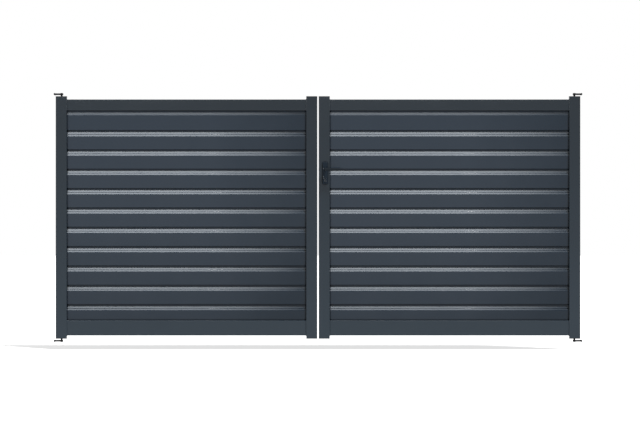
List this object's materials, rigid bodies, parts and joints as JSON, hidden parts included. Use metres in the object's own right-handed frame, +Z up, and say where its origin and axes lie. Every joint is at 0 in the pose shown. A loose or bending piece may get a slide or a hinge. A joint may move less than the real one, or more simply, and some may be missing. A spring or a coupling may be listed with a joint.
{
  "type": "louvred double swing gate",
  "caption": "Louvred double swing driveway gate with two hinged leaves of folded slats, end-pin hinge brackets and a lever lock.",
  "frame": {"origin": "centre of the wall face of the lower left hinge bracket's flange, at mid-thickness of the gate", "axes": "+X along the closed gate from the left pillar to the right one, +Y to the back, which the leaves open towards, +Z up; -Y is the pictured face"},
  "size_m": [3.5, 0.158, 1.652],
  "materials": {
    "frame_coat": "fine-textured anthracite powder coat",
    "slat_coat": "satin anthracite powder coat",
    "hinge_bracket": "black coated steel",
    "bush_steel": "zinc plated",
    "end_cap": "moulded plastic",
    "lock_plate": "black coated",
    "lever_coat": "dark coated",
    "cylinder": "black nickel plated",
    "lock_steel": "brushed stainless"
  },
  "bodies": {
    "wall_brackets": {"lower_left_bracket": "hinge_bracket", "upper_left_bracket": "hinge_bracket", "lower_right_bracket": "hinge_bracket", "upper_right_bracket": "hinge_bracket"},
    "left_leaf": {"left_hinge_stile": "frame_coat", "left_meeting_stile": "frame_coat", "left_top_rail": "frame_coat", "left_bottom_rail": "frame_coat", "left_slat_01": "slat_coat", "left_slat_02": "slat_coat", "left_slat_03": "slat_coat", "left_slat_04": "slat_coat", "left_slat_05": "slat_coat", "left_slat_06": "slat_coat", "left_slat_07": "slat_coat", "left_slat_08": "slat_coat", "left_slat_09": "slat_coat", "left_slat_10": "slat_coat", "left_slat_11": "slat_coat", "left_stile_caps": "end_cap", "left_hinge_bushes": "bush_steel", "strike_plate": "lock_steel"},
    "right_leaf": {"right_hinge_stile": "frame_coat", "right_meeting_stile": "frame_coat", "right_top_rail": "frame_coat", "right_bottom_rail": "frame_coat", "right_slat_01": "slat_coat", "right_slat_02": "slat_coat", "right_slat_03": "slat_coat", "right_slat_04": "slat_coat", "right_slat_05": "slat_coat", "right_slat_06": "slat_coat", "right_slat_07": "slat_coat", "right_slat_08": "slat_coat", "right_slat_09": "slat_coat", "right_slat_10": "slat_coat", "right_slat_11": "slat_coat", "right_stile_caps": "end_cap", "right_hinge_bushes": "bush_steel", "lock_plate_front": "lock_plate", "lock_plate_back": "lock_plate", "lock_cylinder": "cylinder", "lock_case": "lock_steel"},
    "lever_handles": {"lever_front": "lever_coat", "lever_back": "lever_coat"}
  },
  "joints": [
    {"name": "left_leaf_hinge", "type": "hinge", "parent": "wall_brackets", "child": "left_leaf", "pos_m": [0.049, 0, 0], "axis": [0, 0, 1], "range_deg": [0, 90]},
    {"name": "right_leaf_hinge", "type": "hinge", "parent": "wall_brackets", "child": "right_leaf", "pos_m": [3.451, 0, 0], "axis": [0, 0, -1], "range_deg": [0, 90]},
    {"name": "lever_turn", "type": "hinge", "parent": "right_leaf", "child": "lever_handles", "pos_m": [1.7975, 0, 1.136], "axis": [0, 1, 0], "range_deg": [0, 40], "stiffness_Nm_per_rad": 1, "springref_deg": -45.84}
  ]
}
